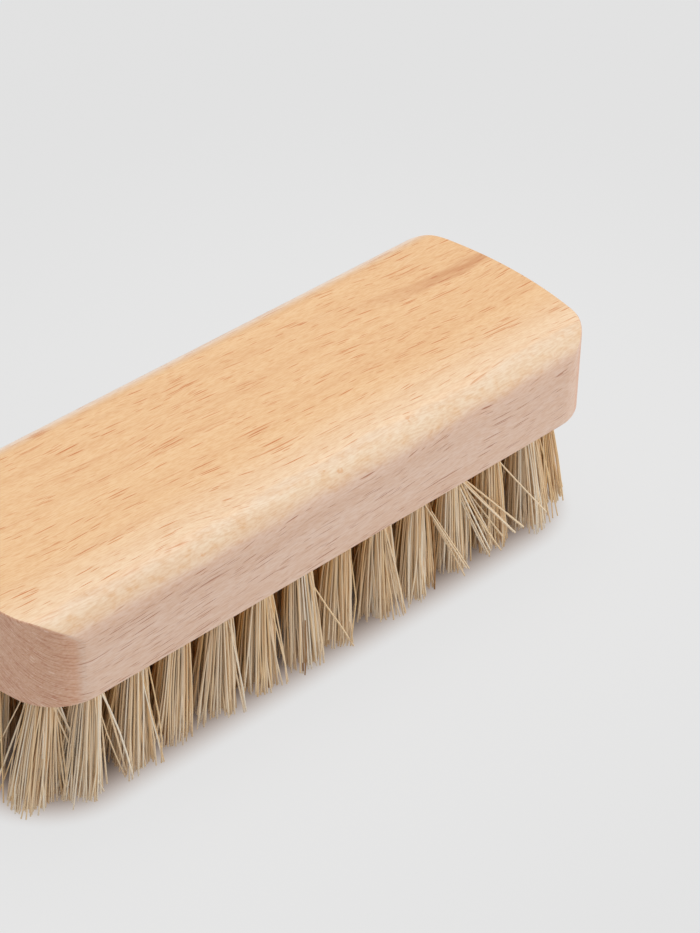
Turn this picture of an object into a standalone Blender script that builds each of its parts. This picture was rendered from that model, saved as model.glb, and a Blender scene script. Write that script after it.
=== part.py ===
"""Shoe polishing brush: one beech block with folded bristle tufts held in drilled holes.

The brush stands on its bristle tips at z = 0 with the block on top, the length along X and the
width along Y. Sizes are in metres. The tufts stand in rows across the brush, and each row is one part:
its strands, the slice of backing that they leave the brush through, the folded butts in their holes and
the flat wire anchors that hold them there.
"""

import math

import bmesh
import bpy
from mathutils import Matrix

# The block. Its plan has bowed ends and round corners, and its long top edges are rounded for the palm.
BLOCK_LENGTH = 0.1200
BLOCK_WIDTH = 0.0435
BLOCK_HEIGHT = 0.0155
END_RADIUS = 0.0725
CORNER_RADIUS = 0.0094
TOP_EDGE_RADIUS = 0.0054
EDGE_EASE = 0.0004
EASED_ANGLE = math.radians(50)

# The drilling. Rows are spaced evenly between the end margins, and the tufts of a row between the side
# margins. The last row at each end bows more than the end does, to clear the round corners.
ROWS = 14
TUFTS_IN_ROW = 5
TUFTS_IN_END_ROW = 4
END_MARGIN = 0.0054
SIDE_MARGIN = 0.00575
CORNER_MARGIN = 0.00855
END_ROW_BOW = 1.6
HOLE_DIAMETER = 0.0042
HOLE_DEPTH = 0.0090
DRILL_POINT = 0.0009

# The slice of backing of each row, let into a groove that leaves a clearance round it.
SLICE_THICKNESS = 0.0012
SLICE_WALL = 0.0003

# The tufts. Square strands stand in a ring round a middle one and spread towards their tips, and whole
# tufts lean outwards, by SPLAY_ENDS and SPLAY_SIDES at the edges of the block and less further in.
BRISTLE_LENGTH = 0.0205
RING_STRANDS = 6
STRAND_GAP = 0.00018
TIP_GAP = 0.0004
TIP_SPREAD = 0.0010
SPLAY_ENDS = 0.0050
SPLAY_SIDES = 0.0021

# The anchors, pieces of flat wire that stand on edge across the fold of each tuft.
ANCHOR_THICKNESS = 0.0005
ANCHOR_HEIGHT = 0.0014
ANCHOR_PROUD = 0.0006

# Clearance between pieces that touch.
CLEARANCE = 0.0003

# How far a cutter runs past what it cuts.
OVERRUN = 0.002

# How finely round shapes are drawn.
CORNER_STEPS = 6
END_STEPS = 6
TOP_EDGE_STEPS = 6
SLOT_END_STEPS = 6
HOLE_SIDES = 8
SHARP_ANGLE = math.radians(30)

# Places that follow from the sizes.
UNDERSIDE = BRISTLE_LENGTH
TOP = UNDERSIDE + BLOCK_HEIGHT
SLICE_MIDDLE = UNDERSIDE + SLICE_THICKNESS / 2
HOLE_RADIUS = HOLE_DIAMETER / 2
SLICE_HALF_WIDTH = HOLE_RADIUS + SLICE_WALL
BUTT_RADIUS = HOLE_RADIUS - CLEARANCE
ANCHOR_TOP = UNDERSIDE + HOLE_DEPTH - CLEARANCE
BUTT_TOP = ANCHOR_TOP - ANCHOR_PROUD
END_ARC_CENTRE = BLOCK_LENGTH / 2 - END_RADIUS

# The surfaces: oiled beech, and natural bristle from cream to brown.
BEECH = (0.74, 0.47, 0.26, 1.0)
BEECH_ROUGHNESS = 0.5
BRISTLE = (0.62, 0.49, 0.30, 1.0)
BRISTLE_ROUGHNESS = 0.45


def clear_scene():
    """Remove every object of the start-up scene."""
    for item in list(bpy.data.objects):
        bpy.data.objects.remove(item)


def new_collection(name):
    """Add a collection to the scene."""
    collection = bpy.data.collections.new(name)
    bpy.context.scene.collection.children.link(collection)
    return collection


def make_material(name, colour, roughness):
    """A plain surface with the piece's own colour and roughness."""
    material = bpy.data.materials.new(name)
    material.use_nodes = True
    shader = material.node_tree.nodes["Principled BSDF"]
    shader.inputs["Base Color"].default_value = colour
    shader.inputs["Roughness"].default_value = roughness
    shader.inputs["Metallic"].default_value = 0.0
    return material


def mesh_object(name, mesh, collection):
    """Put a mesh in the scene under a name."""
    item = bpy.data.objects.new(name, mesh)
    collection.objects.link(item)
    return item


def from_bmesh(name, shape, collection):
    """Turn a finished bmesh into an object."""
    bmesh.ops.recalc_face_normals(shape, faces=shape.faces)
    mesh = bpy.data.meshes.new(name)
    shape.to_mesh(mesh)
    shape.free()
    return mesh_object(name, mesh, collection)


def evaluated_mesh(item):
    """The mesh that an object shows with its modifiers or its curve's fill worked out."""
    graph = bpy.context.evaluated_depsgraph_get()
    return bpy.data.meshes.new_from_object(item.evaluated_get(graph))


def plate(name, outline, thickness, place, collection):
    """A flat outline, filled and given a thickness about its middle plane, then placed."""
    curve = bpy.data.curves.new(name, "CURVE")
    curve.dimensions = "2D"
    curve.fill_mode = "BOTH"
    curve.extrude = thickness / 2
    spline = curve.splines.new("POLY")
    spline.points.add(len(outline) - 1)
    for point, (x, y) in zip(spline.points, outline):
        point.co = (x, y, 0.0, 1.0)
    spline.use_cyclic_u = True
    flat = mesh_object(name + "_outline", curve, collection)
    mesh = evaluated_mesh(flat)
    bpy.data.objects.remove(flat)
    shape = bmesh.new()
    shape.from_mesh(mesh)
    bmesh.ops.remove_doubles(shape, verts=shape.verts, dist=1e-7)
    bmesh.ops.dissolve_limit(shape, angle_limit=math.radians(1), verts=shape.verts, edges=shape.edges)
    bmesh.ops.transform(shape, matrix=place, verts=shape.verts)
    return from_bmesh(name, shape, collection)


def apply_modifiers(item):
    """Make an object's modifiers part of its mesh."""
    mesh = evaluated_mesh(item)
    item.modifiers.clear()
    item.data = mesh


def combine(target, tool, operation):
    """Join a tool to a part, cut it away or keep what they share, and drop the tool."""
    boolean = target.modifiers.new(operation.lower(), "BOOLEAN")
    boolean.operation = operation
    boolean.solver = "EXACT"
    boolean.object = tool
    apply_modifiers(target)
    bpy.data.objects.remove(tool)


def arc(centre, radius, start, end, steps):
    """Points along an arc, both ends included. Angles are in radians."""
    turns = [start + (end - start) * i / steps for i in range(steps + 1)]
    return [(centre[0] + radius * math.cos(t), centre[1] + radius * math.sin(t)) for t in turns]


def block_plan():
    """The block's outline seen from above: two straight sides, four corners and two bowed ends."""
    corner_y = BLOCK_WIDTH / 2 - CORNER_RADIUS
    corner_x = END_ARC_CENTRE + math.sqrt((END_RADIUS - CORNER_RADIUS) ** 2 - corner_y**2)
    turn = math.atan2(corner_y, corner_x - END_ARC_CENTRE)
    end = arc((END_ARC_CENTRE, 0.0), END_RADIUS, -turn, turn, END_STEPS)
    corner = arc((corner_x, corner_y), CORNER_RADIUS, turn, math.pi / 2, CORNER_STEPS)[1:]
    half = [(x, -y) for x, y in reversed(corner)] + end + corner
    return half + [(-x, -y) for x, y in half]


def block_profile():
    """The block's cross-section, drawn past its sides below the rounded top edges."""
    half = BLOCK_WIDTH / 2
    shoulder = TOP - TOP_EDGE_RADIUS
    rounding = arc((half - TOP_EDGE_RADIUS, shoulder), TOP_EDGE_RADIUS, 0.0, math.pi / 2, TOP_EDGE_STEPS)
    right = [(half + OVERRUN, UNDERSIDE), (half + OVERRUN, shoulder)] + rounding
    return right + [(-y, z) for y, z in reversed(right)]


def slot_outline(path, half_width):
    """The outline of a slot that follows a path, with round ends."""
    right_side = []
    left_side = []
    for i, (x, y) in enumerate(path):
        before = path[max(i - 1, 0)]
        after = path[min(i + 1, len(path) - 1)]
        along = math.atan2(after[1] - before[1], after[0] - before[0])
        right = along - math.pi / 2
        left = along + math.pi / 2
        if i == 0:
            start_cap = arc((x, y), half_width, left, left + math.pi, SLOT_END_STEPS)
        elif i == len(path) - 1:
            end_cap = arc((x, y), half_width, right, left, SLOT_END_STEPS)
        else:
            right_side.append((x + half_width * math.cos(right), y + half_width * math.sin(right)))
            left_side.append((x + half_width * math.cos(left), y + half_width * math.sin(left)))
    return start_cap + right_side + end_cap + left_side[::-1]


def evenly(count, span):
    """Places spread evenly over a span about the middle, both ends included."""
    return [span * (i / (count - 1) - 0.5) for i in range(count)]


def tuft_rows():
    """The tufts' places, as rows from one end of the brush to the other."""
    last = BLOCK_LENGTH / 2 - END_MARGIN
    ys = evenly(TUFTS_IN_ROW, BLOCK_WIDTH - 2 * SIDE_MARGIN)
    straight = [[(x, y) for y in ys] for x in evenly(ROWS, 2 * last)[1:-1]]
    radius = (END_RADIUS - END_MARGIN) / END_ROW_BOW
    bowed = []
    for y in evenly(TUFTS_IN_END_ROW, BLOCK_WIDTH - 2 * CORNER_MARGIN):
        bowed.append((last - radius + math.sqrt(radius**2 - y**2), y))
    return [[(-x, y) for x, y in bowed]] + straight + [bowed]


def slice_path(row):
    """The line that a row's slice follows, which on a straight row needs only its ends."""
    xs = [x for x, y in row]
    return row if max(xs) - min(xs) > CLEARANCE else [row[0], row[-1]]


def make_slice(name, row, collection):
    """A row's slice of backing, flush with the underside of the block."""
    outline = slot_outline(slice_path(row), SLICE_HALF_WIDTH)
    place = Matrix.Translation((0.0, 0.0, SLICE_MIDDLE))
    return plate(name, outline, SLICE_THICKNESS, place, collection)


def groove_cutter(row, collection):
    """A cutter for the groove that holds a row's slice with a clearance all round."""
    outline = slot_outline(slice_path(row), SLICE_HALF_WIDTH + CLEARANCE)
    low = UNDERSIDE - OVERRUN
    high = UNDERSIDE + SLICE_THICKNESS + CLEARANCE
    place = Matrix.Translation((0.0, 0.0, (low + high) / 2))
    return plate("groove_cutter", outline, high - low, place, collection)


def add_rod(shape, x, y, low, high, radius, sides):
    """Add an upright rod to a bmesh and return its points."""
    place = Matrix.Translation((x, y, (low + high) / 2))
    rod = bmesh.ops.create_cone(
        shape,
        cap_ends=True,
        segments=sides,
        radius1=radius,
        radius2=radius,
        depth=high - low,
        matrix=place,
    )
    return rod["verts"]


def drill_cutter(rows, collection):
    """A cutter for the blind holes: a rod with a drill's point for every tuft."""
    shape = bmesh.new()
    high = UNDERSIDE + HOLE_DEPTH
    for x, y in [tuft for row in rows for tuft in row]:
        rod = add_rod(shape, x, y, SLICE_MIDDLE, high, HOLE_RADIUS, HOLE_SIDES)
        crown = [vert for vert in rod if vert.co.z > SLICE_MIDDLE + DRILL_POINT]
        end = [face for face in crown[0].link_faces if all(vert in crown for vert in face.verts)]
        tip = bmesh.ops.poke(shape, faces=end)["verts"]
        bmesh.ops.translate(shape, verts=tip, vec=(0.0, 0.0, DRILL_POINT))
    return from_bmesh("drill_cutter", shape, collection)


def make_block(rows, collection, cutters):
    """The beech block: its plan crossed with its profile, then eased, grooved and drilled."""
    middle = Matrix.Translation((0.0, 0.0, (UNDERSIDE + TOP) / 2))
    block = plate("handle_block", block_plan(), BLOCK_HEIGHT + 2 * OVERRUN, middle, collection)
    along_x = Matrix(((0, 0, 1, 0), (1, 0, 0, 0), (0, 1, 0, 0), (0, 0, 0, 1)))
    bar = plate("profile_bar", block_profile(), BLOCK_LENGTH + 2 * OVERRUN, along_x, cutters)
    combine(block, bar, "INTERSECT")
    ease = block.modifiers.new("ease", "BEVEL")
    ease.width = EDGE_EASE
    ease.segments = 1
    ease.limit_method = "ANGLE"
    ease.angle_limit = EASED_ANGLE
    apply_modifiers(block)
    for row in rows:
        combine(block, groove_cutter(row, cutters), "DIFFERENCE")
    combine(block, drill_cutter(rows, cutters), "DIFFERENCE")
    return block


def splay(x, y):
    """How far a tuft leans out of plumb, cubed along the brush because its neighbours hold it up."""
    along = x / (BLOCK_LENGTH / 2)
    across = y / (BLOCK_WIDTH / 2)
    return SPLAY_ENDS * along**3, SPLAY_SIDES * across


def pack_round(radius, gap):
    """How wide square strands are, corner to corner, and how far out, to fill a circle round one."""
    sine = math.sin(math.pi / max(RING_STRANDS, 6))
    half_diagonal = (radius * sine - gap / 2) / (1 + sine)
    return half_diagonal, radius - half_diagonal


def leaning(x, y, height, lean_x, lean_y, turn):
    """Places an upright shape with its top at x, y and its foot on the ground, moved by the lean."""
    lean = Matrix.Identity(4)
    lean[0][2] = -lean_x / height
    lean[1][2] = -lean_y / height
    lean[0][3] = x + lean_x / 2
    lean[1][3] = y + lean_y / 2
    lean[2][3] = height / 2
    return lean @ Matrix.Rotation(turn, 4, "Z")


def strands(row, collection):
    """The strands of a row, from inside their slice down to tips cut level with the ground.

    Each tuft is one middle strand in a ring of others, and is twisted a little further than the last.
    """
    shape = bmesh.new()
    root, root_ring = pack_round(HOLE_RADIUS - STRAND_GAP, STRAND_GAP)
    tip, tip_ring = pack_round(HOLE_RADIUS + TIP_SPREAD, TIP_GAP)
    for number, (x, y) in enumerate(row):
        out_x, out_y = splay(x, y)
        twist = number * math.pi / RING_STRANDS / len(row)
        turns = [twist + 2 * math.pi * i / RING_STRANDS for i in range(RING_STRANDS)]
        for turn, ring in [(twist, 0.0)] + [(turn, 1.0) for turn in turns]:
            root_x = x + ring * root_ring * math.cos(turn)
            root_y = y + ring * root_ring * math.sin(turn)
            lean_x = out_x + ring * (tip_ring - root_ring) * math.cos(turn)
            lean_y = out_y + ring * (tip_ring - root_ring) * math.sin(turn)
            bmesh.ops.create_cone(
                shape,
                cap_ends=True,
                segments=4,
                radius1=tip,
                radius2=root,
                depth=SLICE_MIDDLE,
                matrix=leaning(root_x, root_y, SLICE_MIDDLE, lean_x, lean_y, turn),
            )
    return from_bmesh("strands", shape, collection)


def butts(row, collection):
    """The folded butts of a row's tufts, each standing in its hole."""
    shape = bmesh.new()
    for x, y in row:
        add_rod(shape, x, y, SLICE_MIDDLE, BUTT_TOP, BUTT_RADIUS, HOLE_SIDES)
    return from_bmesh("butts", shape, collection)


def anchors(row, collection):
    """The flat wire anchors of a row, each on edge across the fold of its tuft."""
    shape = bmesh.new()
    length = 2 * BUTT_RADIUS - CLEARANCE
    size = Matrix.Diagonal((ANCHOR_THICKNESS, length, ANCHOR_HEIGHT, 1.0))
    for x, y in row:
        place = Matrix.Translation((x, y, ANCHOR_TOP - ANCHOR_HEIGHT / 2))
        bmesh.ops.create_cube(shape, size=1.0, matrix=place @ size)
    return from_bmesh("anchors", shape, collection)


def make_tuft_row(name, row, collection, cutters):
    """A row of tufts with its slice, butts and anchors, as one piece."""
    piece = make_slice(name, row, collection)
    combine(piece, butts(row, cutters), "UNION")
    combine(piece, anchors(row, cutters), "UNION")
    combine(piece, strands(row, cutters), "UNION")
    return piece


def finish(item, material):
    """Give a part its material, and smooth shading that breaks at its edges."""
    item.data.materials.clear()
    item.data.materials.append(material)
    item.data.shade_smooth()
    item.data.set_sharp_from_angle(angle=SHARP_ANGLE)


def main():
    """Build the brush."""
    clear_scene()
    brush = new_collection("shoe_polishing_brush")
    cutters = new_collection("cutters")
    rows = tuft_rows()
    finish(make_block(rows, brush, cutters), make_material("beech", BEECH, BEECH_ROUGHNESS))
    for number, row in enumerate(rows, start=1):
        bristle = make_material(f"bristle_{number:02d}", BRISTLE, BRISTLE_ROUGHNESS)
        finish(make_tuft_row(f"tuft_row_{number:02d}", row, brush, cutters), bristle)
    bpy.data.collections.remove(cutters)
    print(len(rows), "rows,", sum(len(row) for row in rows), "tufts")


main()
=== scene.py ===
"""Looks of the shoe polishing brush: an oiled beech block and machine-set tufts of natural bristle."""

import math
import random

import bmesh
import bpy
from mathutils import Matrix, Vector


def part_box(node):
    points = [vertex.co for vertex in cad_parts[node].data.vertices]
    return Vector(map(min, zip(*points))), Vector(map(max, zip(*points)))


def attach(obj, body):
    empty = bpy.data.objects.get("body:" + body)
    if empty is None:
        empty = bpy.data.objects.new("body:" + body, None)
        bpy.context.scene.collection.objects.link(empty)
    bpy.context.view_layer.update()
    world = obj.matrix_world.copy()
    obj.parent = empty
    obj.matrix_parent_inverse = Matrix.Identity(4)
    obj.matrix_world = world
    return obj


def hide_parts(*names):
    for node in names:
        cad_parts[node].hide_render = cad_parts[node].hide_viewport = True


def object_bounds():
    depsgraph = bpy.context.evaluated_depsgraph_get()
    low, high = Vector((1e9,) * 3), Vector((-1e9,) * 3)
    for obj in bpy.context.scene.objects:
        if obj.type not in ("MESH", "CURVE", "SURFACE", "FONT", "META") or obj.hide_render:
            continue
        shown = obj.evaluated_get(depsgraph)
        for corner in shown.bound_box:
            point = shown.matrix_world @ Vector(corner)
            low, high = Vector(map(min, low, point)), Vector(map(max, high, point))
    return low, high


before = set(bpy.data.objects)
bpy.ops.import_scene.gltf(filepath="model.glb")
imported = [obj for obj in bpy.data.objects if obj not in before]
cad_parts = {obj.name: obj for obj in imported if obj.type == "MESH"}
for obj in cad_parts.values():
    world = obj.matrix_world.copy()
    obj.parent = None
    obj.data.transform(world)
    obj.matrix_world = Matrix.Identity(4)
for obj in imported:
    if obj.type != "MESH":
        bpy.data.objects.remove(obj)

MM = 0.001
CAD_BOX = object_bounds()

# The block. Its box comes from the solid, and the rest are the real sizes of its curves. Edges that turn
# by more than the first angle are eased, and the shading breaks at those of more than the second.
BLOCK_LOW, BLOCK_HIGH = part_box("handle_block")
HALF_LENGTH = BLOCK_HIGH.x
HALF_WIDTH = BLOCK_HIGH.y
UNDERSIDE = BLOCK_LOW.z
TOP = BLOCK_HIGH.z
END_RADIUS = 72.5 * MM
CORNER_RADIUS = 9.4 * MM
TOP_EDGE_RADIUS = 5.4 * MM
EDGE_EASE = 0.35 * MM
EASED_ANGLE = math.radians(20)
SHARP_ANGLE = math.radians(35)

# The drilling.
ROWS = 14
TUFTS_IN_ROW = 5
TUFTS_IN_END_ROW = 4
END_MARGIN = 5.4 * MM
SIDE_MARGIN = 5.75 * MM
CORNER_MARGIN = 8.55 * MM
END_ROW_BOW = 1.6
HOLE_RADIUS = 2.1 * MM
HOLE_DEPTH = 9.0 * MM
DRILL_POINT = 0.9 * MM
DRILL_OVERRUN = 1 * MM

# The flat wire across the folds of each tuft.
ANCHOR_TOP = UNDERSIDE + 8.3 * MM
ANCHOR_HEIGHT = 1.4 * MM
ANCHOR_LENGTH = 3.4 * MM
ANCHOR_THICKNESS = 0.5 * MM
ANCHOR_EASE = 0.1 * MM
FOLD_RISE = 0.25 * MM

# The bristles of a tuft, folded in pairs over the wire. They are square, and at 0.32 mm from corner to
# corner they look as wide as real round ones of 0.25 to 0.3 mm.
PAIRS = 100
BRISTLE_RADIUS = 0.16 * MM
THINNEST = 0.80
THICKEST = 1.15
ROOT_WIDTH = 0.92
TIP_WIDENING = 0.12
TUFT_RADIUS = 1.95 * MM
TUFT_SPREAD = 0.86

# How far the bristles may reach, so that the brush is no larger than its solids.
REACH_X = CAD_BOX[1][0] - 1.25 * BRISTLE_RADIUS
REACH_Y = CAD_BOX[1][1] - 1.25 * BRISTLE_RADIUS

# How a tuft is tousled. Its bristles gather in clumps that point their own ways and end a little short.
# Some bristles stray, more of them in the rows at the near end, and a few are cut much shorter.
CLUMPS = 7
CLUMP_PULL = 0.16
CLUMP_STRAY = 0.50 * MM
CLUMP_SHORTNESS = 0.2 * MM
TUFT_STRAY = 0.18 * MM
TIP_STRAY = 0.36 * MM
LOOSE_TIP_STRAY = 1.5 * MM
LOOSE_SHARE = 0.10
LOOSE_SHARE_NEAR_END = 0.24
LAST_ROW_NEAR_END = 3
BEND_ALONG = 0.30 * MM
BEND_ACROSS = 0.26 * MM
TIP_UNEVENNESS = 0.28 * MM
TIP_LIFT = 0.10 * MM
SHORT_SHARE = 0.07
SHORT_LEAST = 0.4 * MM
SHORT_MOST = 3.0 * MM

# How far the tips lean from under their holes: outwards at the ends and sides, more so further out, and
# all of them a little towards the near end.
SPLAY_NEAR_END = 3.3 * MM
SPLAY_FAR_END = 1.9 * MM
SPLAY_SIDES = 2.1 * MM
LEAN_ALONG = 1.2 * MM
LEAN_MIDDLE = -1.3 * MM

# How pale the bristles are, from 0 for brown to 1 for nearly white. Each kind is picked where a draw
# from 0 to 1 is below its value, and the rest are straw. A brown one's own draw only marks it as brown.
BROWN_BELOW = 0.010
GOLDEN_BELOW = 0.13
WHITE_BELOW = 0.23
BROWN_TONE = 0.03
BROWN_MARKS = (0.0, 0.06)
GOLDEN_TONES = (0.46, 0.56)
WHITE_TONES = (0.86, 1.0)
STRAW_TONE = 0.67
STRAW_SPREAD = 0.08
STRAW_LEAST = 0.45
TUFT_TONE_SPREAD = 0.05
PALE_LEAST = 0.44
TIP_PALENESS = 0.08

# Light deep inside the brush has come off other bristles, so they are drawn more golden there, down to
# a limit. The open air reaches to a depth from the outside of the brush, and fades out below it.
INNER_GOLD = 0.56
GOLD_LIMIT = 0.10
OPEN_AIR_DEPTH = 3.4 * MM
OPEN_AIR_FADE = 2.9 * MM
LEAST_DEPTH = 0.1 * MM

# How the bristles of a bent bunch vary, and from where on down they bend.
BUNCH_LEAST = 0.72
BUNCH_MOST = 1.05
BUNCH_SIDE = 0.02
BUNCH_STRAY_ALONG = 0.3 * MM
BUNCH_STRAY_ACROSS = 0.35 * MM
BUNCH_STRAY_UP = 0.5 * MM
BUNCH_TIP_LIFT = 0.12 * MM
BUNCH_KINK = 0.16

# Bent bunches: row, tuft, way along and across, lift of the tips, and number of bristles.
BENT_BUNCHES = [
    (1, 0, 4.0 * MM, -4.2 * MM, 0.2 * MM, 4),
    (2, 0, -4.6 * MM, -3.2 * MM, 0.3 * MM, 5),
    (2, 0, 3.0 * MM, -3.0 * MM, 0.4 * MM, 3),
    (3, 0, 0.6 * MM, -4.3 * MM, 0.1 * MM, 2),
    (5, 0, 0.6 * MM, -4.2 * MM, 0.1 * MM, 3),
    (6, 0, 0.8 * MM, -4.0 * MM, 0.1 * MM, 2),
    (7, 0, 7.4 * MM, -4.9 * MM, 0.1 * MM, 1),
    (9, 0, 1.8 * MM, -4.4 * MM, 0.2 * MM, 4),
    (10, 0, 7.4 * MM, -4.0 * MM, 1.2 * MM, 4),
    (11, 0, 11.4 * MM, -4.3 * MM, 4.0 * MM, 9),
    (11, 0, 7.0 * MM, -2.6 * MM, 1.6 * MM, 6),
    (12, 0, 10.0 * MM, -3.2 * MM, 4.0 * MM, 1),
]

# How the tree lies in the block: its fibres nearly along it, and its rays rising towards the back.
FIBRE_TILT = 0.042
RAY_RISE = math.radians(37)
ALONG_RAYS = Vector((0.0, math.cos(RAY_RISE), math.sin(RAY_RISE)))
ACROSS_RAYS = Vector((0.0, -math.sin(RAY_RISE), math.cos(RAY_RISE)))

# The camera stands where the photograph was taken from.
AZIMUTH = math.radians(-44.715)
ELEVATION = math.radians(36.811)
ROLL = math.radians(1.321)
DISTANCE = 482.0 * MM
AIM = Vector((16.32 * MM, -6.24 * MM, UNDERSIDE))
LENS = 115.93
SENSOR = 36.0

# The painted shadow on the table under the brush, where the table doesn't glow: its half size, and how far
# it lies towards the near end. Round it the glow rises from the shade's to the table's, a little above the
# far table's, which paints out the brush's own shade there, and from there it falls off slowly.
PAINTED_SHADOW_BOX = (45.8 * MM, 8.0 * MM, 1.0)
PAINTED_SHADOW_SHIFT = (2.2 * MM, 0.0, 0.0)
SHADE_GLOW = 0.07
SHADE_EDGE = 6.5 * MM
SHADE_END = 17.5 * MM
TABLE_GLOW = 0.697
FAR_GLOW = 0.662
FALL_START = 18 * MM
FALL_END = 150 * MM


def linear(code):
    """The linear colour of an sRGB hex code."""
    channels = [int(code[i : i + 2], 16) / 255 for i in (1, 3, 5)]
    return tuple(c / 12.92 if c <= 0.04045 else ((c + 0.055) / 1.055) ** 2.4 for c in channels) + (1.0,)


def new_material(name):
    """A material, and its surface shader."""
    material = bpy.data.materials.new(name)
    material.use_nodes = True
    return material, material.node_tree.nodes["Principled BSDF"]


def node(material, kind, inputs, **settings):
    """Add a node. Its inputs are values or sockets to link from; stops are a ramp's places and colours."""
    added = material.node_tree.nodes.new(kind)
    stops = settings.pop("stops", [])
    for name, value in settings.items():
        setattr(added, name, value)
    for place, colour in stops[2:]:
        added.color_ramp.elements.new(place)
    for element, (place, colour) in zip(added.color_ramp.elements if stops else [], stops):
        element.position = place
        element.color = linear(colour)
    for name, value in inputs.items():
        if isinstance(value, bpy.types.NodeSocket):
            material.node_tree.links.new(value, added.inputs[name])
        else:
            added.inputs[name].default_value = value
    return added


def finished_piece(name, shape, materials):
    """Turn a finished bmesh into a smooth-shaded piece."""
    mesh = bpy.data.meshes.new(name)
    shape.to_mesh(mesh)
    shape.free()
    for material in materials:
        mesh.materials.append(material)
    mesh.shade_smooth()
    piece = bpy.data.objects.new(name, mesh)
    bpy.context.scene.collection.objects.link(piece)
    return piece


def apply_modifiers(piece):
    """Make a piece's modifiers part of its mesh."""
    graph = bpy.context.evaluated_depsgraph_get()
    mesh = bpy.data.meshes.new_from_object(piece.evaluated_get(graph))
    piece.modifiers.clear()
    piece.data = mesh


def wood_clouds(material, tree, size, detail, low, high, amount):
    """Soft patches in the wood, from none to an amount, of a size in millimetres in the tree."""
    sized = node(material, "ShaderNodeMapping", {"Vector": tree, "Scale": size}, vector_type="TEXTURE")
    inputs = {"Vector": sized.outputs["Vector"], "Scale": 1.0, "Detail": detail}
    noise = node(material, "ShaderNodeTexNoise", inputs).outputs["Fac"]
    inputs = {"Value": noise, "From Min": low, "From Max": high, "To Max": amount}
    return node(material, "ShaderNodeMapRange", inputs, interpolation_type="SMOOTHSTEP").outputs["Result"]


def wood_rays(material, tree, size, share, amount):
    """Cut rays: thin lenses, one to each space of a size in millimetres. A share is drawn, some darker.

    A lens is a little over a third as long and as wide as its space.
    """
    sized = node(material, "ShaderNodeMapping", {"Vector": tree, "Scale": size}, vector_type="TEXTURE")
    inputs = {"Vector": sized.outputs["Vector"], "Scale": 1.0}
    cell = node(material, "ShaderNodeTexVoronoi", inputs)
    edge = {"From Min": 0.14, "From Max": 0.23, "To Min": 1.0, "To Max": 0.0}
    inputs = {"Value": cell.outputs["Distance"], **edge}
    lens = node(material, "ShaderNodeMapRange", inputs, interpolation_type="SMOOTHSTEP").outputs["Result"]
    pick = node(material, "ShaderNodeSeparateColor", {"Color": cell.outputs["Color"]}).outputs["Red"]
    inputs = {"Value": pick, "From Min": 1.0 - share, "From Max": 1.0 - 0.25 * share, "To Max": amount}
    drawn = node(material, "ShaderNodeMapRange", inputs).outputs["Result"]
    return node(material, "ShaderNodeMath", {0: lens, 1: drawn}, operation="MULTIPLY").outputs[0]


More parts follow.
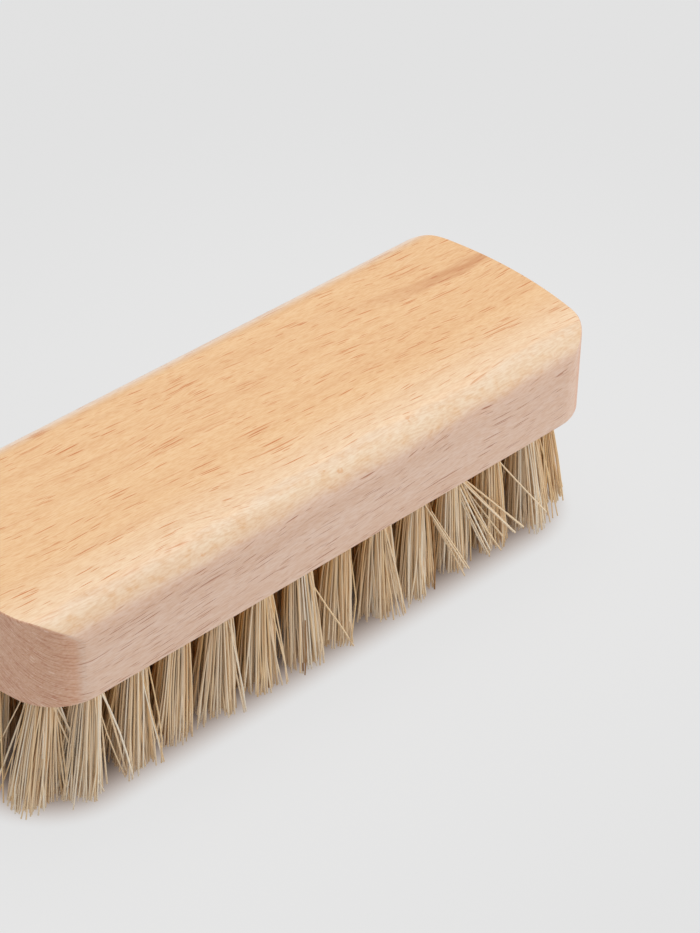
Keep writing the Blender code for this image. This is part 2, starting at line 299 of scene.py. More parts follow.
def oiled_beech():
    """Beech, planed, sanded and oiled: golden and satin, with the short orange dashes of its rays."""
    material, surface = new_material("oiled_beech")
    place = node(material, "ShaderNodeTexCoord", {}).outputs["Object"]
    facing = node(material, "ShaderNodeAttribute", {}, attribute_name="facing").outputs["Vector"]

    # Places in the tree, in millimetres: along the fibres, across the rays, and along the rays.
    fibre = (Vector((1, 0, 0)) + ACROSS_RAYS * FIBRE_TILT) * 1000
    across = (ACROSS_RAYS - Vector((1, 0, 0)) * FIBRE_TILT) * 1000
    along = ALONG_RAYS * 1000
    tree_x = node(material, "ShaderNodeVectorMath", {0: place, 1: fibre}, operation="DOT_PRODUCT")
    tree_x = tree_x.outputs["Value"]
    tree_y = node(material, "ShaderNodeVectorMath", {0: place, 1: across}, operation="DOT_PRODUCT")
    tree_y = tree_y.outputs["Value"]
    tree_z = node(material, "ShaderNodeVectorMath", {0: place, 1: along}, operation="DOT_PRODUCT")
    tree_z = tree_z.outputs["Value"]
    plain = node(material, "ShaderNodeCombineXYZ", {0: tree_x, 1: tree_y, 2: tree_z}).outputs[0]
    sway = wood_clouds(material, plain, (34, 14, 16), 1.0, 0.2, 0.8, 1.6)
    tree_y = node(material, "ShaderNodeMath", {0: tree_y, 1: sway}, operation="ADD").outputs[0]
    tree = node(material, "ShaderNodeCombineXYZ", {0: tree_x, 1: tree_y, 2: tree_z}).outputs[0]

    # How far a place looks up, out of an end, and along the rays, where they show as mottling and not
    # as dashes. The end grain starts a little further round the far corners than round the near ones.
    up = node(material, "ShaderNodeVectorMath", {0: facing, 1: (0, 0, 1)}, operation="DOT_PRODUCT")
    up = up.outputs["Value"]
    end = node(material, "ShaderNodeVectorMath", {0: facing, 1: (1, 0, 0)}, operation="DOT_PRODUCT")
    end = end.outputs["Value"]
    end = node(material, "ShaderNodeMath", {0: end, 1: 0.06}, operation="SUBTRACT").outputs[0]
    end = node(material, "ShaderNodeMath", {0: end}, operation="ABSOLUTE").outputs[0]
    inputs = {"Value": end, "From Min": 0.28, "From Max": 0.46}
    end = node(material, "ShaderNodeMapRange", inputs, interpolation_type="SMOOTHSTEP").outputs["Result"]
    radial = node(material, "ShaderNodeVectorMath", {0: facing, 1: ACROSS_RAYS}, operation="DOT_PRODUCT")
    radial = node(material, "ShaderNodeMath", {0: radial.outputs["Value"]}, operation="ABSOLUTE").outputs[0]
    wander = wood_clouds(material, tree, (9, 1.6, 3.0), 2.0, 0.25, 0.75, 0.10)
    radial = node(material, "ShaderNodeMath", {0: radial, 1: wander}, operation="ADD").outputs[0]
    inputs = {"Value": radial, "From Min": 0.88, "From Max": 1.01}
    mottled = node(material, "ShaderNodeMapRange", inputs, interpolation_type="SMOOTHSTEP").outputs["Result"]
    inputs = {"Value": radial, "From Min": 0.88, "From Max": 1.00, "To Min": 1.0, "To Max": 0.05}
    dashed = node(material, "ShaderNodeMapRange", inputs, interpolation_type="SMOOTHSTEP").outputs["Result"]

    # The ground: golden on the top, paler towards the front, rosier on the sides and darker on the ends.
    forward = node(material, "ShaderNodeVectorMath", {0: place, 1: (0, -1000, 0)}, operation="DOT_PRODUCT")
    inputs = {"Value": forward.outputs["Value"], "From Min": 6.0, "From Max": 19.0}
    front = node(material, "ShaderNodeMapRange", inputs, interpolation_type="SMOOTHSTEP").outputs["Result"]
    tone = node(
        material,
        "ShaderNodeMix",
        {0: front, 6: linear("#F0C796"), 7: linear("#F6DAB8")},
        data_type="RGBA",
    ).outputs[2]
    up = node(material, "ShaderNodeMath", {0: up, 1: wander}, operation="ADD").outputs[0]
    inputs = {"Value": up, "From Min": 0.40, "From Max": 0.98}
    upper = node(material, "ShaderNodeMapRange", inputs, interpolation_type="SMOOTHSTEP").outputs["Result"]
    inputs = {0: upper, 6: linear("#E2C5B2"), 7: tone}
    tone = node(material, "ShaderNodeMix", inputs, data_type="RGBA").outputs[2]

    # Cream where the rays lie flat in the front rounding: the ray figure, and a painted highlight there as
    # well.
    cream = node(material, "ShaderNodeMath", {0: mottled, 1: upper}, operation="MULTIPLY").outputs[0]
    inputs = {0: cream, 6: tone, 7: linear("#EED8BD")}
    tone = node(material, "ShaderNodeMix", inputs, data_type="RGBA").outputs[2]
    # A painted reflection: the rounding along the back is drawn nearly cream, as if it caught the bright
    # surround.
    behind = node(material, "ShaderNodeVectorMath", {0: facing, 1: (0, 1, 0)}, operation="DOT_PRODUCT")
    inputs = {"Value": behind.outputs["Value"], "From Min": 0.08, "From Max": 0.50}
    painted_back_reflection = node(material, "ShaderNodeMapRange", inputs, interpolation_type="SMOOTHSTEP")
    painted_back_reflection = node(
        material, "ShaderNodeMath", {0: painted_back_reflection.outputs["Result"], 1: upper}, operation="MULTIPLY"
    ).outputs[0]
    inputs = {0: painted_back_reflection, 6: tone, 7: linear("#F4DFCC")}
    tone = node(material, "ShaderNodeMix", inputs, data_type="RGBA").outputs[2]
    inputs = {0: end, 6: tone, 7: linear("#E4BBA0")}
    tone = node(material, "ShaderNodeMix", inputs, data_type="RGBA").outputs[2]

    # The figure. Real pores are under 0.1 mm wide, too fine to show, so the grain is drawn coarser, at
    # about 0.2 mm. Real rays are 0.1 to 0.2 mm wide and up to 5 mm long. The dashes are about 0.1 mm wide
    # and 1.5 to 6 mm long. A few long lines, up to 11 mm, stand for rays that run into each other.
    rings = wood_clouds(material, tree, (110, 30, 1.5), 2.0, 0.35, 0.65, 0.25)
    streaks = wood_clouds(material, tree, (50, 1.2, 3.0), 3.0, 0.42, 0.70, 0.22)
    grain = wood_clouds(material, tree, (1.5, 0.17, 0.24), 3.0, 0.35, 0.68, 0.44)
    patches = wood_clouds(material, tree, (1.7, 9.0, 1.3), 2.0, 0.42, 0.80, 0.50)
    patches = node(material, "ShaderNodeMath", {0: patches, 1: mottled}, operation="MULTIPLY").outputs[0]
    dashes = wood_rays(material, tree, (12.5, 0.31, 4.6), 0.74, 1.0)
    short_dashes = wood_rays(material, tree, (8.5, 0.26, 3.8), 0.78, 1.0)
    fine_dashes = wood_rays(material, tree, (5.0, 0.23, 3.0), 0.90, 0.80)
    long_lines = wood_rays(material, tree, (24.0, 0.42, 8.0), 0.20, 0.8)
    drawn = node(material, "ShaderNodeMath", {0: dashes, 1: short_dashes}, operation="MAXIMUM").outputs[0]
    drawn = node(material, "ShaderNodeMath", {0: drawn, 1: fine_dashes}, operation="MAXIMUM").outputs[0]
    drawn = node(material, "ShaderNodeMath", {0: drawn, 1: long_lines}, operation="MAXIMUM").outputs[0]
    drawn = node(material, "ShaderNodeMath", {0: drawn, 1: dashed}, operation="MULTIPLY").outputs[0]
    ray_tone = node(
        material,
        "ShaderNodeMix",
        {0: upper, 6: linear("#C49882"), 7: linear("#E0A36C")},
        data_type="RGBA",
    ).outputs[2]
    plain_faces = node(material, "ShaderNodeMath", {0: 1.0, 1: end}, operation="SUBTRACT").outputs[0]
    drawn = node(material, "ShaderNodeMath", {0: drawn, 1: plain_faces}, operation="MULTIPLY").outputs[0]

    # The ends: rays and pores cut across, with pale flecks. Then small smudged spots on the cream.
    end_rays = wood_clouds(material, tree, (9.0, 0.17, 3.0), 3.0, 0.42, 0.76, 0.80)
    end_rays = node(material, "ShaderNodeMath", {0: end_rays, 1: end}, operation="MULTIPLY").outputs[0]
    end_pores = wood_clouds(material, tree, (4.0, 0.5, 0.45), 2.0, 0.48, 0.75, 0.60)
    end_pores = node(material, "ShaderNodeMath", {0: end_pores, 1: end}, operation="MULTIPLY").outputs[0]
    flecks = wood_rays(material, tree, (9.0, 0.45, 2.2), 0.75, 0.75)
    flecks = node(material, "ShaderNodeMath", {0: flecks, 1: end}, operation="MULTIPLY").outputs[0]
    inputs = {0: flecks, 6: tone, 7: linear("#FFE6D6")}
    tone = node(material, "ShaderNodeMix", inputs, data_type="RGBA").outputs[2]
    spots = wood_rays(material, tree, (3.2, 30.0, 2.4), 0.42, 1.0)
    smudge = wood_clouds(material, tree, (1.2, 9.0, 0.6), 2.0, 0.40, 0.60, 1.0)
    spots = node(material, "ShaderNodeMath", {0: spots, 1: smudge}, operation="MULTIPLY").outputs[0]
    spots = node(material, "ShaderNodeMath", {0: spots, 1: cream}, operation="MULTIPLY").outputs[0]

    # A mineral streak that comes in at the far end of the top.
    streak = node(material, "ShaderNodeMath", {0: tree_y, 1: 22.65}, operation="SUBTRACT").outputs[0]
    streak = node(material, "ShaderNodeMath", {0: streak}, operation="ABSOLUTE").outputs[0]
    ragged = wood_clouds(material, tree, (9, 0.5, 6), 2.0, 0.3, 0.7, 0.7)
    streak = node(material, "ShaderNodeMath", {0: streak, 1: ragged}, operation="ADD").outputs[0]
    inputs = {"Value": streak, "From Min": 0.35, "From Max": 1.60, "To Min": 1.0, "To Max": 0.0}
    streak = node(material, "ShaderNodeMapRange", inputs, interpolation_type="SMOOTHSTEP").outputs["Result"]
    inputs = {"Value": tree_x, "From Min": 28.0, "From Max": 60.0}
    reach = node(material, "ShaderNodeMapRange", inputs, interpolation_type="SMOOTHSTEP").outputs["Result"]
    streak = node(material, "ShaderNodeMath", {0: streak, 1: reach}, operation="MULTIPLY").outputs[0]

    shades = [
        (rings, linear("#F1E2D2")),
        (streaks, linear("#EBD3BE")),
        (grain, linear("#EACFAE")),
        (patches, linear("#F4DAB8")),
        (drawn, ray_tone),
        (end_rays, linear("#D8B29E")),
        (end_pores, linear("#EDD2C6")),
        (spots, linear("#EFC79E")),
        (streak, linear("#E4CAB8")),
    ]
    for amount, shade in shades:
        inputs = {0: amount, 6: tone, 7: shade}
        tone = node(material, "ShaderNodeMix", inputs, data_type="RGBA", blend_type="MULTIPLY").outputs[2]
    material.node_tree.links.new(tone, surface.inputs["Base Color"])
    surface.inputs["IOR"].default_value = 1.5

    # A thin film of oil lies over the wood. The grain is a little duller and stands up slightly, and the
    # rays lie lower.
    surface.inputs["Coat Weight"].default_value = 0.3
    surface.inputs["Coat Roughness"].default_value = 0.3
    inputs = {"Value": grain, "From Max": 0.38, "To Min": 0.47, "To Max": 0.56}
    gloss = node(material, "ShaderNodeMapRange", inputs).outputs["Result"]
    material.node_tree.links.new(gloss, surface.inputs["Roughness"])
    relief = node(material, "ShaderNodeMath", {0: grain, 1: drawn}, operation="SUBTRACT").outputs[0]
    bump = node(material, "ShaderNodeBump", {"Strength": 0.25, "Distance": 0.00006, "Height": relief})
    material.node_tree.links.new(bump.outputs["Normal"], surface.inputs["Normal"])
    return material


def natural_bristle():
    """Bleached natural bristle: cream to straw, some golden and a few brown, with the sheen of hair."""
    material, surface = new_material("natural_bristle")
    tone = node(material, "ShaderNodeAttribute", {}, attribute_name="tone").outputs["Fac"]
    stops = [
        (0.00, "#4E3424"),
        (0.08, "#F0AE60"),
        (0.24, "#EDB870"),
        (0.42, "#EBC48A"),
        (0.70, "#F2D7B1"),
        (1.00, "#F8ECD8"),
    ]
    colour = node(material, "ShaderNodeValToRGB", {"Fac": tone}, stops=stops).outputs["Color"]
    material.node_tree.links.new(colour, surface.inputs["Base Color"])
    surface.inputs["Roughness"].default_value = 0.55
    surface.inputs["IOR"].default_value = 1.55
    return material


def tinned_wire():
    """Flat steel wire, drawn and tinned: grey and smooth."""
    material, surface = new_material("tinned_steel_wire")
    surface.inputs["Base Color"].default_value = linear("#A9A79F")
    surface.inputs["Metallic"].default_value = 1.0
    surface.inputs["Roughness"].default_value = 0.35
    return material


def evenly(count, span):
    """Places spread evenly over a span about the middle, both ends included."""
    return [span * (i / (count - 1) - 0.5) for i in range(count)]


def tuft_rows():
    """The tufts' places, as rows from one end of the brush to the other."""
    last = HALF_LENGTH - END_MARGIN
    ys = evenly(TUFTS_IN_ROW, 2 * (HALF_WIDTH - SIDE_MARGIN))
    straight = [[(x, y) for y in ys] for x in evenly(ROWS, 2 * last)[1:-1]]
    radius = (END_RADIUS - END_MARGIN) / END_ROW_BOW
    bowed = []
    for y in evenly(TUFTS_IN_END_ROW, 2 * (HALF_WIDTH - CORNER_MARGIN)):
        bowed.append((last - radius + math.sqrt(radius**2 - y**2), y))
    return [[(-x, y) for x, y in bowed]] + straight + [bowed]


def vertices_of(geometry):
    """The vertices in what a bmesh operator returned."""
    return [g for g in geometry if isinstance(g, bmesh.types.BMVert)]


def spin_arc(shape, start, centre, angle, steps):
    """Draw an arc in plan from a vertex, and return its last vertex."""
    spun = bmesh.ops.spin(
        shape, geom=[start], cent=centre, axis=(0, 0, 1), angle=angle, steps=steps, use_duplicate=False
    )
    return vertices_of(spun["geom_last"])[0]


def block_shape(end_steps=24, corner_steps=14):
    """The block: its plan raised, its top bent down at the long edges, and its sharp edges eased."""
    shape = bmesh.new()
    arc_x = HALF_LENGTH - END_RADIUS
    corner_y = HALF_WIDTH - CORNER_RADIUS
    corner_x = arc_x + math.sqrt((END_RADIUS - CORNER_RADIUS) ** 2 - corner_y**2)
    turn = math.atan2(corner_y, corner_x - arc_x)
    last = shape.verts.new((corner_x, -HALF_WIDTH, UNDERSIDE))
    last = spin_arc(shape, last, (corner_x, -corner_y, 0), math.pi / 2 - turn, corner_steps)
    last = spin_arc(shape, last, (arc_x, 0, 0), 2 * turn, end_steps)
    spin_arc(shape, last, (corner_x, corner_y, 0), math.pi / 2 - turn, corner_steps)
    other_end = bmesh.ops.duplicate(shape, geom=shape.verts[:] + shape.edges[:])["geom"]
    half_turn = Matrix.Rotation(math.pi, 3, "Z")
    bmesh.ops.rotate(shape, verts=vertices_of(other_end), cent=(0, 0, 0), matrix=half_turn)
    loose_ends = [v for v in shape.verts if len(v.link_edges) == 1]
    for side in (-1, 1):
        bmesh.ops.contextual_create(shape, geom=[v for v in loose_ends if v.co.y * side > 0])
    bmesh.ops.contextual_create(shape, geom=shape.edges[:])
    raised = vertices_of(bmesh.ops.extrude_face_region(shape, geom=shape.faces[:])["geom"])
    bmesh.ops.translate(shape, verts=raised, vec=(0, 0, TOP - UNDERSIDE))
    bmesh.ops.recalc_face_normals(shape, faces=shape.faces[:])

    # Cuts along the block where its long edges round over, and then the rounding itself.
    shoulder = HALF_WIDTH - TOP_EDGE_RADIUS
    cuts = {round(v.co.y, 7) for v in shape.verts if shoulder < abs(v.co.y) < HALF_WIDTH - 0.01 * MM}
    for y in sorted(cuts | {shoulder, -shoulder}):
        faces = [f for f in shape.faces if f.calc_center_median().z > UNDERSIDE + EDGE_EASE]
        geom = set(faces).union(*(f.edges for f in faces), *(f.verts for f in faces))
        bmesh.ops.bisect_plane(shape, geom=list(geom), dist=1e-6, plane_co=(0, y, 0), plane_no=(0, 1, 0))
    for v in shape.verts:
        if v.co.z > UNDERSIDE + EDGE_EASE:
            over = min(max(abs(v.co.y) - shoulder, 0.0), TOP_EDGE_RADIUS)
            v.co.z = TOP - TOP_EDGE_RADIUS + math.sqrt(TOP_EDGE_RADIUS**2 - over**2)
    shape.normal_update()
    bmesh.ops.bevel(
        shape,
        geom=[e for e in shape.edges if e.is_manifold and e.calc_face_angle() > EASED_ANGLE],
        offset=EDGE_EASE,
        offset_type="OFFSET",
        loop_slide=True,
        segments=3,
        profile=0.5,
        affect="EDGES",
        material=-1,
    )
    return shape


def drill_shape(rows, sides=20):
    """A drill with its point in every hole."""
    shape = bmesh.new()
    length = HOLE_DEPTH + DRILL_OVERRUN
    for x, y in [tuft for row in rows for tuft in row]:
        made = bmesh.ops.create_cone(
            shape,
            cap_ends=True,
            segments=sides,
            radius1=HOLE_RADIUS,
            radius2=HOLE_RADIUS,
            depth=length,
            matrix=Matrix.Translation((x, y, UNDERSIDE + HOLE_DEPTH - length / 2)),
        )
        faces = {f for v in made["verts"] for f in v.link_faces}
        bmesh.ops.poke(shape, faces=[max(faces, key=lambda f: f.calc_center_median().z)], offset=DRILL_POINT)
    return shape


def make_block(rows, beech):
    """The drilled block, with the way each corner of its faces looks kept for the beech."""
    block = finished_piece("beech_block", block_shape(), [beech])
    drills = finished_piece("drills", drill_shape(rows), [beech])
    cut = block.modifiers.new("holes", "BOOLEAN")
    cut.operation = "DIFFERENCE"
    cut.solver = "EXACT"
    cut.object = drills
    apply_modifiers(block)
    bpy.data.objects.remove(drills)
    block.data.shade_smooth()
    block.data.set_sharp_from_angle(angle=SHARP_ANGLE)
    even = block.modifiers.new("even_shading", "WEIGHTED_NORMAL")
    even.keep_sharp = True
    apply_modifiers(block)
    facing = block.data.attributes.new("facing", "FLOAT_VECTOR", "CORNER")
    for corner, normal in zip(facing.data, block.data.corner_normals):
        corner.vector = normal.vector
    return block


# How far down a bristle its rings are: in the hole as shares of the way to the mouth, and then to the tip.
IN_HOLE = (0.0, 0.12, 0.55)
BELOW = (0.0, 0.16, 0.35, 0.56, 0.78, 1.0)
RINGS = len(IN_HOLE) + len(BELOW)


def place_on_rod(face):
    """Where a face is on the rod, as a number that grows up it and then round it."""
    middle = face.calc_center_median()
    return 100 * middle.z + math.atan2(middle.y, middle.x)


def straight_bristle():
    """A four-sided rod with its rings a unit apart, to be bent into each bristle."""
    shape = bmesh.new()
    bmesh.ops.create_circle(shape, cap_ends=False, segments=4, radius=1.0)
    edges = shape.edges[:]
    for _ in range(RINGS - 1):
        grown = bmesh.ops.extrude_edge_only(shape, edges=edges)["geom"]
        edges = [g for g in grown if isinstance(g, bmesh.types.BMEdge)]
        bmesh.ops.translate(shape, verts=vertices_of(grown), vec=(0, 0, 1.0))
    bmesh.ops.holes_fill(shape, edges=[e for e in shape.edges if e.is_boundary])

    # Extruding leaves the faces in another order on each run, so they are put in the same one.
    shape.faces.sort(key=place_on_rod)
    bmesh.ops.recalc_face_normals(shape, faces=shape.faces[:])
    mesh = bpy.data.meshes.new("straight_bristle")
    shape.to_mesh(mesh)
    shape.free()
    return mesh


def within(value, limit):
    """Keep a value within a limit on both sides of zero."""
    return max(-limit, min(limit, value))


def splay(x, y):
    """How far a tuft's tips lean from under its hole."""
    end = SPLAY_FAR_END if x > 0 else SPLAY_NEAR_END
    along = end * (x / HALF_LENGTH) ** 3 + LEAN_ALONG * x / HALF_LENGTH + LEAN_MIDDLE
    return along, SPLAY_SIDES * y / HALF_WIDTH


def bristle_line(draw, tuft, start, fold_side, tip, lift, kink):
    """A bristle's middle line, from its fold over the wire to its cut tip."""
    fold = ANCHOR_TOP + FOLD_RISE
    points = []

    # In the hole it runs from over the wire out to its own place at the mouth, and below that it bends.
    for down in IN_HOLE:
        out = start[0] * min(1.0, 0.3 + down) if down > 0 else fold_side * BRISTLE_RADIUS * 0.5
        y = tuft[1] + start[1] * (0.75 + 0.25 * down)
        points.append(Vector((tuft[0] + out, y, fold + (UNDERSIDE - fold) * down)))
    bend_x = draw.gauss(0, BEND_ALONG)
    bend_y = draw.gauss(0, BEND_ACROSS)
    for t in BELOW:
        swing = max(0.0, (t - kink) / (1 - kink))
        x = tuft[0] + start[0] + tip[0] * swing + bend_x * math.sin(math.pi * t)
        y = tuft[1] + start[1] + tip[1] * swing + bend_y * math.sin(math.pi * t)
        z = UNDERSIDE + (lift - UNDERSIDE) * t
        points.append(Vector((within(x, REACH_X), within(y, REACH_Y), z)))
    return points


def tuft_lines(draw, number, index, tuft):
    """The middle lines of a tuft's bristles."""
    lean = splay(*tuft)
    lean = (lean[0] + draw.gauss(0, TUFT_STRAY), lean[1] + draw.gauss(0, TUFT_STRAY))
    clumps = []
    for _ in range(CLUMPS):
        angle = draw.uniform(0, 2 * math.pi)
        reach = TUFT_RADIUS * math.sqrt(draw.random())
        centre = Vector((reach * math.cos(angle), reach * math.sin(angle)))
        off_x = draw.gauss(0, CLUMP_STRAY)
        off_y = draw.gauss(0, CLUMP_STRAY)
        clumps.append((centre, off_x, off_y, abs(draw.gauss(0, CLUMP_SHORTNESS))))
    loose_share = LOOSE_SHARE_NEAR_END if number <= LAST_ROW_NEAR_END else LOOSE_SHARE
    turn = draw.uniform(0, 2 * math.pi)
    lines = []
    for i in range(2 * PAIRS):
        reach = TUFT_RADIUS * math.sqrt((i + 0.5) / (2 * PAIRS))
        angle = turn + i * math.pi * (3 - math.sqrt(5))
        start = Vector((reach * math.cos(angle), reach * math.sin(angle)))
        centre, off_x, off_y, short = min(clumps, key=lambda c: (c[0] - start).length)
        stray = LOOSE_TIP_STRAY if draw.random() < loose_share else TIP_STRAY
        gather = (centre - start) * CLUMP_PULL
        tip_x = start.x * TUFT_SPREAD + gather.x + lean[0] + off_x + draw.gauss(0, stray)
        tip_y = start.y * TUFT_SPREAD + gather.y + lean[1] + off_y + draw.gauss(0, stray)
        lift = short + abs(draw.gauss(0, TIP_UNEVENNESS)) + TIP_LIFT
        if draw.random() < SHORT_SHARE:
            lift += draw.uniform(SHORT_LEAST, SHORT_MOST)
        lines.append([start, tip_x, tip_y, lift, 0.0])

    # A bent bunch is every second one of the front bristles, on the side that it bends to.
    for along, across, lift, count in [b[2:] for b in BENT_BUNCHES if b[:2] == (number, index)]:
        way = Vector((along, across)).normalized()
        outer = sorted(lines, key=lambda line: line[0].y - BUNCH_SIDE * line[0].x * along / MM)
        for line in outer[: 2 * count : 2]:
            share = draw.uniform(BUNCH_LEAST, BUNCH_MOST)
            line[1] = along * share + way.x * draw.gauss(0, BUNCH_STRAY_ALONG)
            line[2] = across * share + draw.gauss(0, BUNCH_STRAY_ACROSS)
            line[3] = max(BUNCH_TIP_LIFT, lift * share + draw.gauss(0, BUNCH_STRAY_UP))
            line[4] = BUNCH_KINK
    made = []
    for start, tip_x, tip_y, lift, kink in lines:
        side = 1 if start.x > 0 else -1
        made.append(bristle_line(draw, tuft, start, side, (tip_x, tip_y), lift, kink))
    return made


def open_air(place):
    """How open the air is round a place among the bristles: one at the outside, none deep inside."""
    to_end = max(LEAST_DEPTH, HALF_LENGTH - place.y**2 / (2 * END_RADIUS) - abs(place.x))
    to_side = max(LEAST_DEPTH, HALF_WIDTH - abs(place.y))
    inwards = to_end * to_side / (to_end + to_side)
    return 1 - min(1.0, max(0.0, (inwards - OPEN_AIR_DEPTH) / OPEN_AIR_FADE))


def bristle_tone(draw):
    """How pale a bristle is: mostly cream to straw, some golden, some nearly white and a few brown."""
    pick = draw.random()
    if pick < BROWN_BELOW:
        return draw.uniform(*BROWN_MARKS)
    if pick < GOLDEN_BELOW:
        return draw.uniform(*GOLDEN_TONES)
    if pick < WHITE_BELOW:
        return draw.uniform(*WHITE_TONES)
    return min(1.0, max(STRAW_LEAST, draw.gauss(STRAW_TONE, STRAW_SPREAD)))


def make_tufts(number, row, rod, bristle):
    """The bristles of a row of tufts."""
    draw = random.Random(1000 + number)
    lines = [line for i, tuft in enumerate(row) for line in tuft_lines(draw, number, i, tuft)]
    tuft_tones = [draw.gauss(0, TUFT_TONE_SPREAD) for _ in row]
    shape = bmesh.new()
    tone = shape.verts.layers.float.new("tone")
    for _ in lines:
        shape.from_mesh(rod)
    shape.verts.ensure_lookup_table()
    for k, line in enumerate(lines):
        pale = bristle_tone(draw)
        brown = pale <= BROWN_MARKS[1]
        pale = max(PALE_LEAST, pale + tuft_tones[k // (2 * PAIRS)])
        thick = draw.uniform(THINNEST, THICKEST)
        for i, rod_vertex in enumerate(rod.vertices):
            vert = shape.verts[k * len(rod.vertices) + i]
            ring = round(rod_vertex.co.z)
            along = (line[min(ring + 1, RINGS - 1)] - line[max(ring - 1, 0)]).normalized()
            across = along.cross(Vector((0.0, 1.0, 0.0))).normalized()
            beside = along.cross(across)
            below = max(0, ring - len(IN_HOLE)) / (len(BELOW) - 1)
            radius = BRISTLE_RADIUS * thick * (ROOT_WIDTH + TIP_WIDENING * below)
            vert.co = line[ring] + (across * rod_vertex.co.x + beside * rod_vertex.co.y) * radius
            hidden = INNER_GOLD * (1 - below**4) * (1 - open_air(line[ring]))
            shade = min(1.0, max(GOLD_LIMIT, pale + TIP_PALENESS * below - hidden))
            vert[tone] = BROWN_TONE if brown else shade
    bmesh.ops.recalc_face_normals(shape, faces=shape.faces[:])
    return finished_piece(f"bristles_{number:02d}", shape, [bristle])


def make_wires(rows, steel):
    """The flat wires across the folds, driven crosswise into every hole."""
    shape = bmesh.new()
    size = Matrix.Diagonal((ANCHOR_THICKNESS, ANCHOR_LENGTH, ANCHOR_HEIGHT, 1.0))
    for x, y in [tuft for row in rows for tuft in row]:
        place = Matrix.Translation((x, y, ANCHOR_TOP - ANCHOR_HEIGHT / 2))
        bmesh.ops.create_cube(shape, size=1.0, matrix=place @ size)
    bmesh.ops.bevel(
        shape,
        geom=shape.edges[:],
        offset=ANCHOR_EASE,
        segments=1,
        profile=0.5,
        affect="EDGES",
        material=-1,
    )
    return finished_piece("wire_anchors", shape, [steel])


def place_camera():
    """The camera, at the photograph's place and angle."""
    back = Vector(
        (
            math.sin(AZIMUTH) * math.cos(ELEVATION),
            -math.cos(AZIMUTH) * math.cos(ELEVATION),
            math.sin(ELEVATION),
        )
    )
    right = Vector((math.cos(AZIMUTH), math.sin(AZIMUTH), 0.0))
    up = back.cross(right)
    level = right * math.cos(ROLL) + up * math.sin(ROLL)
    upright = up * math.cos(ROLL) - right * math.sin(ROLL)
    lens = bpy.data.cameras.new("camera")
    lens.lens = LENS
    lens.sensor_width = SENSOR
    camera = bpy.data.objects.new("camera", lens)
    turned = Matrix((level, upright, back)).transposed()
    camera.matrix_world = Matrix.Translation(AIM + back * DISTANCE) @ turned.to_4x4()
    bpy.context.scene.collection.objects.link(camera)
    bpy.context.scene.camera = camera


def soft_box(name, place, size, power, mirrored):
    """A square soft box that faces the brush, and is or isn't mirrored in it."""
    light = bpy.data.lights.new(name, "AREA")
    light.shape = "SQUARE"
    light.size = size
    light.energy = power
    lamp = bpy.data.objects.new(name, light)
    lamp.visible_glossy = mirrored
    aim = Vector((0.0, 0.0, UNDERSIDE)) - Vector(place)
    lamp.matrix_world = Matrix.Translation(place) @ aim.to_track_quat("-Z", "Y").to_matrix().to_4x4()
    bpy.context.scene.collection.objects.link(lamp)


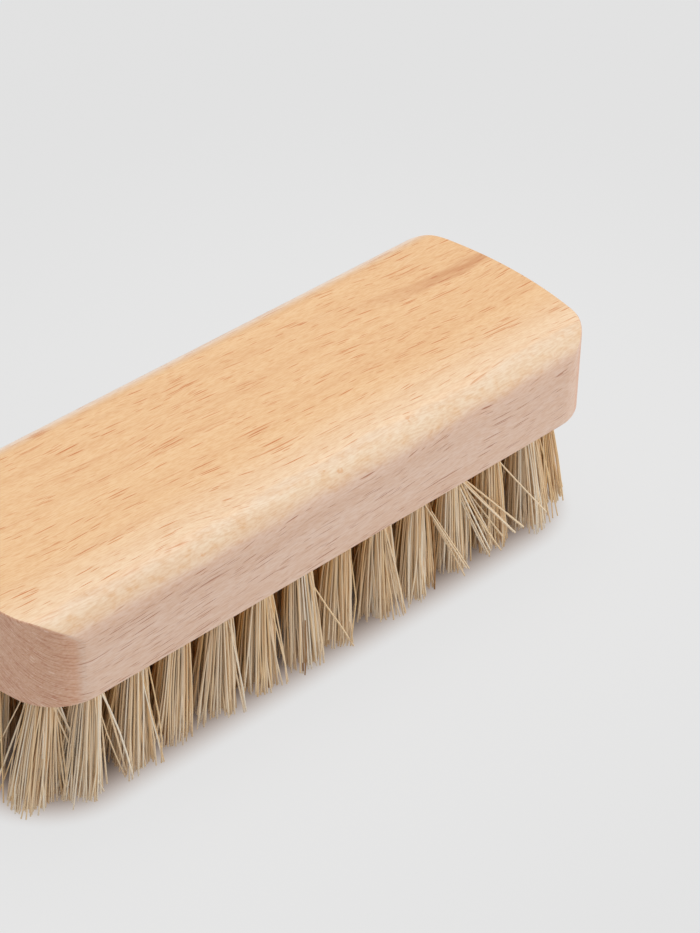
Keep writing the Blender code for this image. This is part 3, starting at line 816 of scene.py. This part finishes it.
def studio():
    """A pale table that glows, with a painted shadow under the brush, a pale surround and two soft boxes."""
    shape = bmesh.new()
    bmesh.ops.create_grid(shape, x_segments=1, y_segments=1, size=6.0)
    material, surface = new_material("pale_table")
    surface.inputs["Base Color"].default_value = linear("#555555")
    surface.inputs["Roughness"].default_value = 1.0
    surface.inputs["Specular IOR Level"].default_value = 0.0
    surface.inputs["Emission Color"].default_value = (1.0, 1.0, 1.0, 1.0)

    # The table glows round the brush and not under it: a painted shadow, short and soft.
    place = node(material, "ShaderNodeTexCoord", {}).outputs["Object"]
    place = node(material, "ShaderNodeVectorMath", {0: place, 1: PAINTED_SHADOW_SHIFT}, operation="ADD").outputs[0]
    away = node(material, "ShaderNodeVectorMath", {0: place}, operation="ABSOLUTE").outputs[0]
    away = node(material, "ShaderNodeVectorMath", {0: away, 1: PAINTED_SHADOW_BOX}, operation="SUBTRACT").outputs[0]
    away = node(material, "ShaderNodeVectorMath", {0: away, 1: (0, 0, 0)}, operation="MAXIMUM").outputs[0]
    away = node(material, "ShaderNodeVectorMath", {0: away}, operation="LENGTH").outputs["Value"]
    rise = {"From Min": SHADE_EDGE, "From Max": SHADE_END, "To Min": SHADE_GLOW, "To Max": 1.0}
    inputs = {"Value": away, **rise}
    glow_past_painted_shadow = node(material, "ShaderNodeMapRange", inputs, interpolation_type="SMOOTHSTEP").outputs["Result"]
    fall = {"From Min": FALL_START, "From Max": FALL_END, "To Min": TABLE_GLOW, "To Max": FAR_GLOW}
    inputs = {"Value": away, **fall}
    far = node(material, "ShaderNodeMapRange", inputs, interpolation_type="SMOOTHERSTEP").outputs["Result"]
    glow = node(material, "ShaderNodeMath", {0: glow_past_painted_shadow, 1: far}, operation="MULTIPLY").outputs[0]
    material.node_tree.links.new(glow, surface.inputs["Emission Strength"])
    # The painted shadow is tinted warm, and the tint fades to the white glow round it.
    inputs = {0: glow_past_painted_shadow, 6: linear("#FFDAC2"), 7: linear("#FFFFFF")}
    light = node(material, "ShaderNodeMix", inputs, data_type="RGBA").outputs[2]
    material.node_tree.links.new(light, surface.inputs["Emission Color"])
    finished_piece("table", shape, [material])
    world = bpy.data.worlds.new("surround")
    world.use_nodes = True
    sky = world.node_tree.nodes["Background"]
    sky.inputs["Color"].default_value = (1.0, 1.0, 1.0, 1.0)
    sky.inputs["Strength"].default_value = 0.525
    bpy.context.scene.world = world
    # The low one isn't mirrored in the satin wood, because seen from behind it would burn out the top.
    soft_box("overhead", place=(0.35, 0.25, 1.5), size=1.2, power=13.0, mirrored=True)
    soft_box("front_right", place=(0.84, -0.68, 0.26), size=0.5, power=4.48, mirrored=False)
    bpy.context.scene.view_settings.view_transform = "Standard"


place_camera()
studio()

rows = tuft_rows()
block = make_block(rows, oiled_beech())
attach(block, "root")
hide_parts("handle_block")

bristle = natural_bristle()
rod = straight_bristle()
for number, row in enumerate(rows, start=1):
    tufts = make_tufts(number, row, rod, bristle)
    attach(tufts, "root")
    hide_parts(f"tuft_row_{number:02d}")
wires = make_wires(rows, tinned_wire())
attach(wires, "root")
